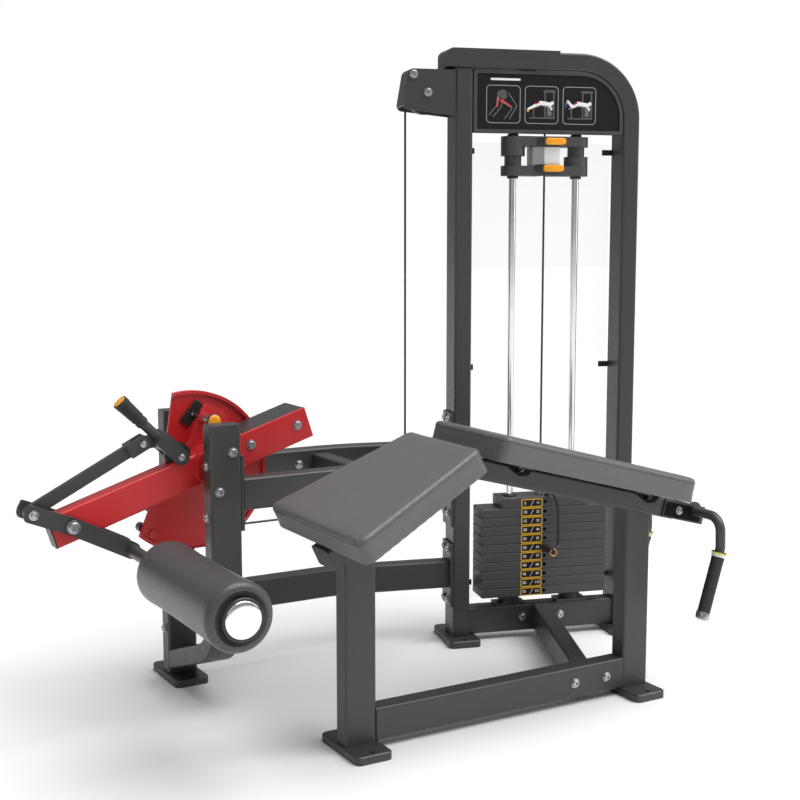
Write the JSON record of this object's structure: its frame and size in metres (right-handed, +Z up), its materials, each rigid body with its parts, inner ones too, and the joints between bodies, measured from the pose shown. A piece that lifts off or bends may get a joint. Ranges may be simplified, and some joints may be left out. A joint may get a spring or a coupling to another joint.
{
  "type": "lying leg curl machine",
  "caption": "Weight-stack leg curl machine: angled bench with a swinging ankle roller, a cam-driven cable and a side weight tower.",
  "frame": {"origin": "on the floor, at the middle of the whole machine's box", "axes": "+X along the bench towards the head end, +Y across the bench towards the weight tower, +Z up"},
  "size_m": [1.8346, 1.0154, 1.69],
  "materials": {
    "frame_paint": "charcoal powder coat with a fine satin texture",
    "red_paint": "red powder coat, satin",
    "stack_paint": "matt charcoal paint on steel plates",
    "pad_vinyl": "grey upholstery vinyl with a fine grain, satin",
    "foam": "grey closed-cell foam with a smooth skin",
    "chrome_steel": "polished chrome",
    "bright_steel": "zinc-plated steel",
    "cable_jacket": "black nylon jacket over steel rope",
    "cord_black": "black coiled plastic cord",
    "black_rubber": "black moulded rubber, fine texture",
    "black_plastic": "black moulded plastic",
    "yellow_plastic": "yellow-orange moulded plastic",
    "sign_face": null,
    "clear_sheet": "clear plastic sheet",
    "board_wood": "plywood under a black dust cover",
    "handle_steel": "black powder coat on round tube"
  },
  "bodies": {
    "root": {"bench_base_beam": "frame_paint", "bench_grips": "black_rubber", "bench_handles": "handle_steel", "bench_legs": "frame_paint", "bench_spine": "frame_paint", "bent_upright": "frame_paint", "cable_run": "cable_jacket", "chest_pad": "pad_vinyl", "floor_beam": "frame_paint", "foot_plates": "frame_paint", "frame_bolts": "bright_steel", "front_post": "frame_paint", "grip_rings": "yellow_plastic", "guide_rods": "chrome_steel", "high_front_rail": "frame_paint", "high_rear_rail": "frame_paint", "left_upright": "frame_paint", "low_rail": "frame_paint", "pad_boards": "board_wood", "pivot_bearings": "frame_paint", "pulley_covers": "frame_paint", "pulley_mounts": "frame_paint", "rear_post": "frame_paint", "rear_shield": "clear_sheet", "resting_plates": "stack_paint", "shield_tabs": "black_plastic", "sign_panel": "sign_face", "stack_bumpers": "black_rubber", "thigh_pad": "pad_vinyl", "tower_cross_beams": "frame_paint"},
    "cam": {"cam_plate": "red_paint", "cable_track": "red_paint", "cam_blocks": "black_plastic", "pivot_shaft": "bright_steel", "track_cable": "cable_jacket"},
    "arm": {"curl_arm": "red_paint", "counterweight": "frame_paint", "arm_end_cap": "black_plastic", "detent_disc": "black_plastic", "arm_fasteners": "bright_steel"},
    "pull_pin": {"pull_pin": "bright_steel", "pull_knob": "yellow_plastic"},
    "handle": {"adjust_handle": "frame_paint", "handle_grip": "black_rubber", "handle_cap": "yellow_plastic"},
    "lever": {"roller_lever": "frame_paint", "roller_end_cap": "chrome_steel"},
    "link": {"link_bar": "frame_paint"},
    "roller": {"foam_roller": "foam", "roller_core": "black_plastic"},
    "stack": {"lifted_plates": "stack_paint", "selector_rod": "bright_steel", "lanyard": "cord_black", "stack_cable": "cable_jacket"},
    "selector": {"selector_pin": "black_plastic"},
    "lower_addon": {"lower_addon": "stack_paint"},
    "upper_addon": {"upper_addon": "stack_paint"},
    "outer_pulley": {"outer_pulley": "black_plastic"},
    "centre_pulley": {"centre_pulley": "black_plastic"},
    "low_pulley": {"low_pulley": "black_plastic"}
  },
  "joints": [
    {"name": "arm_pivot", "type": "hinge", "parent": "root", "child": "cam", "pos_m": [-0.45348, 0.30175, 0.612], "axis": [0, 1, 0], "range_deg": [0, 110]},
    {"name": "start_adjust", "type": "hinge", "parent": "cam", "child": "arm", "pos_m": [-0.45348, 0.20675, 0.612], "axis": [0, 1, 0], "range_deg": [0, 36]},
    {"name": "pull_pin_travel", "type": "slide", "parent": "arm", "child": "pull_pin", "axis": [0, -1, 0], "range_m": [0, 0.012], "stiffness_N_per_m": 800},
    {"name": "roller_adjust", "type": "hinge", "parent": "arm", "child": "handle", "pos_m": [-0.52792, 0.20675, 0.64033], "axis": [0, 1, 0], "range_deg": [-10, 30]},
    {"name": "roller_lever_turn", "type": "hinge", "parent": "arm", "child": "lever", "pos_m": [-0.80432, 0.20675, 0.49767], "axis": [0, 1, 0], "range_deg": [-10, 30]},
    {"name": "link_turn", "type": "hinge", "parent": "lever", "child": "link", "pos_m": [-0.89631, 0.20675, 0.53563], "axis": [0, 1, 0], "range_deg": [-30, 10]},
    {"name": "roller_spin", "type": "hinge", "parent": "lever", "child": "roller", "pos_m": [-0.6603, -0.27725, 0.4227], "axis": [0, 1, 0], "continuous": true},
    {"name": "stack_lift", "type": "slide", "parent": "root", "child": "stack", "axis": [0, 0, 1], "range_m": [0, 0.385], "deforming": ["stack_cable"]},
    {"name": "selector_pull", "type": "slide", "parent": "stack", "child": "selector", "axis": [-0.2723, -0.9622, 0], "range_m": [0, 0.06]},
    {"name": "lower_addon_drop", "type": "slide", "parent": "root", "child": "lower_addon", "axis": [0, 0, 1], "range_m": [-0.9, 0]},
    {"name": "upper_addon_drop", "type": "slide", "parent": "root", "child": "upper_addon", "axis": [0, 0, 1], "range_m": [-0.9, 0]},
    {"name": "outer_pulley_spin", "type": "hinge", "parent": "root", "child": "outer_pulley", "pos_m": [0.26599, 0.3404, 1.568], "axis": [0.2723, 0.9622, 0], "range_deg": [-401, 1]},
    {"name": "centre_pulley_spin", "type": "hinge", "parent": "root", "child": "centre_pulley", "pos_m": [0.55466, 0.25871, 1.568], "axis": [0.2723, 0.9622, 0], "range_deg": [-401, 1]},
    {"name": "low_pulley_spin", "type": "hinge", "parent": "root", "child": "low_pulley", "pos_m": [0.17007, 0.35537, 0.455], "axis": [0, 1, 0], "range_deg": [-1, 513]}
  ],
  "couplings": [
    {"joint": "stack_lift", "follows": "arm_pivot", "m_per_rad": 0.2},
    {"joint": "outer_pulley_spin", "follows": "arm_pivot", "ratio": -3.6364},
    {"joint": "centre_pulley_spin", "follows": "arm_pivot", "ratio": -3.6364},
    {"joint": "low_pulley_spin", "follows": "arm_pivot", "ratio": 4.6512},
    {"joint": "roller_lever_turn", "follows": "roller_adjust", "ratio": 1},
    {"joint": "link_turn", "follows": "roller_adjust", "ratio": -1},
    {"joint": "upper_addon_drop", "follows": "lower_addon_drop", "ratio": 1}
  ]
}
